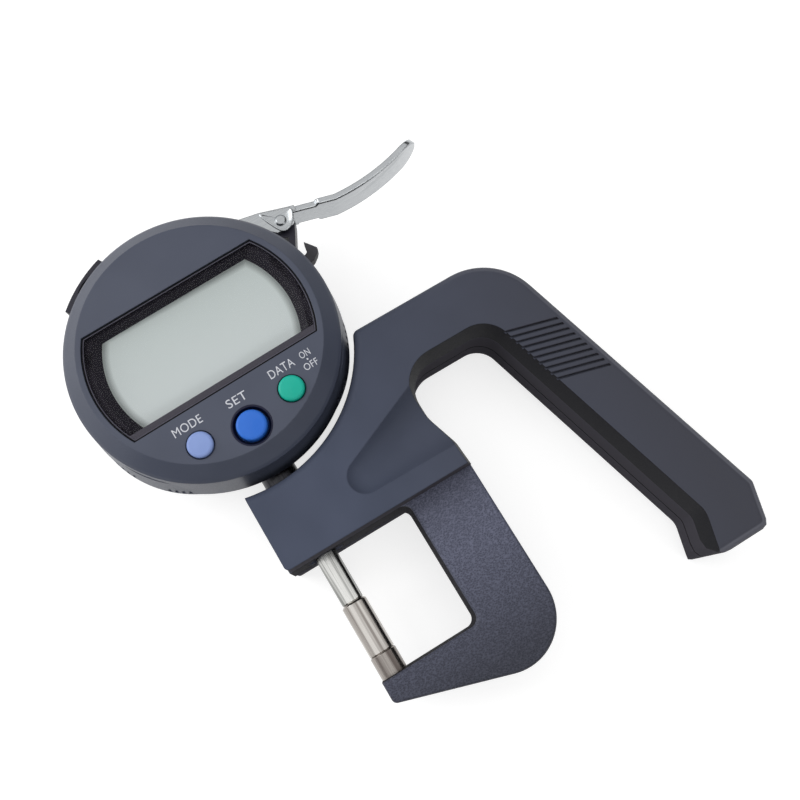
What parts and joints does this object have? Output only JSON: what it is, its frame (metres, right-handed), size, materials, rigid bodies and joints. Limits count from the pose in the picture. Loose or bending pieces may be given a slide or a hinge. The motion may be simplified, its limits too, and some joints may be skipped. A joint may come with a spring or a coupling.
{
  "type": "digital thickness gauge",
  "caption": "Hand-held dial indicator thickness gauge: round turning display head on a C-shaped frame, pistol grip, plunging spindle over an anvil, and a thumb lever that lifts it.",
  "frame": {"origin": "centre of the flat round back cover of the indicator head, on the plane the gauge lies on", "axes": "+Z out of the display face; +Y along the spindle towards the head; +X towards the handle"},
  "size_m": [0.1106, 0.122, 0.0294],
  "materials": {
    "frame_paint": "hammered satin paint, dark blue-grey",
    "tip_steel": "hardened and ground, brown-grey",
    "grip_plastic": "fine moulded texture, blue-grey",
    "screw_steel": "plain",
    "stem_steel": "ground",
    "bronze": "turned bronze",
    "case_plastic": "moulded, dark blue-grey",
    "rubber": "moulded",
    "dark_plastic": "moulded, near black",
    "board_green": "solder mask",
    "spring_steel": "drawn wire",
    "spindle_steel": "ground and lapped",
    "scale_glass": "coated scale",
    "lever_steel": "satin nickel",
    "bezel_plastic": "fine moulded texture, blue-grey",
    "lens": "clear acrylic",
    "mask_plastic": "printed frame, near black",
    "lcd_glass": "grey-green reflective display",
    "white_plastic": "moulded, off white",
    "grey_rubber": "moulded",
    "key_pale_blue": "pale blue",
    "key_blue": "blue",
    "key_green": "green",
    "cell_steel": "nickel plated"
  },
  "bodies": {
    "body": {"frame": "frame_paint", "anvil": "tip_steel", "front_grip": "grip_plastic", "rear_grip": "grip_plastic", "grip_screws": "screw_steel", "stem": "stem_steel", "lower_bush": "bronze", "upper_bush": "bronze", "stem_set_screw": "screw_steel", "rear_case": "case_plastic", "back_cover": "case_plastic", "cover_screws": "screw_steel", "friction_ring": "rubber", "retaining_ring": "screw_steel", "lever_bracket": "dark_plastic", "bracket_screws": "screw_steel", "guide_rail": "stem_steel", "sensor_board": "board_green", "return_spring": "spring_steel"},
    "spindle": {"spindle": "spindle_steel", "contact_point": "tip_steel", "lift_cap": "dark_plastic", "guide_block": "bronze", "guide_pin": "spindle_steel", "encoder_scale": "scale_glass"},
    "lever": {"lift_lever": "lever_steel", "pivot_pin": "screw_steel"},
    "display": {"bezel": "bezel_plastic", "display_base": "case_plastic", "window_lens": "lens", "window_mask": "mask_plastic", "lcd_panel": "lcd_glass", "lcd_holder": "white_plastic", "circuit_board": "board_green", "key_membrane": "grey_rubber", "connector_socket": "dark_plastic"},
    "mode_button": {"mode_key": "key_pale_blue"},
    "set_button": {"set_key": "key_blue"},
    "data_button": {"data_key": "key_green"},
    "cap": {"connector_cap": "rubber"},
    "drawer": {"battery_drawer": "dark_plastic", "battery": "cell_steel"}
  },
  "joints": [
    {"name": "spindle_slide", "type": "slide", "parent": "body", "child": "spindle", "axis": [0, 1, 0], "range_m": [0, 0.012], "stiffness_N_per_m": 83, "springref_m": -0.018, "deforming": ["return_spring"]},
    {"name": "lever_hinge", "type": "hinge", "parent": "body", "child": "lever", "pos_m": [0.0284, 0.02, 0.011], "axis": [0, 0, -1], "range_deg": [0, 24.22]},
    {"name": "display_turn", "type": "hinge", "parent": "body", "child": "display", "pos_m": [0, 0, 0], "axis": [0, 0, -1], "range_deg": [-232, 30]},
    {"name": "mode_press", "type": "slide", "parent": "display", "child": "mode_button", "axis": [0, 0, -1], "range_m": [0, 0.0006], "stiffness_N_per_m": 800, "springref_m": -0.0004},
    {"name": "set_press", "type": "slide", "parent": "display", "child": "set_button", "axis": [0, 0, -1], "range_m": [0, 0.0006], "stiffness_N_per_m": 800, "springref_m": -0.0004},
    {"name": "data_press", "type": "slide", "parent": "display", "child": "data_button", "axis": [0, 0, -1], "range_m": [0, 0.0006], "stiffness_N_per_m": 800, "springref_m": -0.0004},
    {"name": "cap_pull", "type": "slide", "parent": "display", "child": "cap", "axis": [0.9537, 0.3007, 0], "range_m": [0, 0.006]},
    {"name": "drawer_pull", "type": "slide", "parent": "display", "child": "drawer", "axis": [-0.5225, 0.8526, 0], "range_m": [0, 0.012]}
  ],
  "couplings": [
    {"joint": "lever_hinge", "follows": "spindle_slide", "rad_per_m": 35.211}
  ]
}
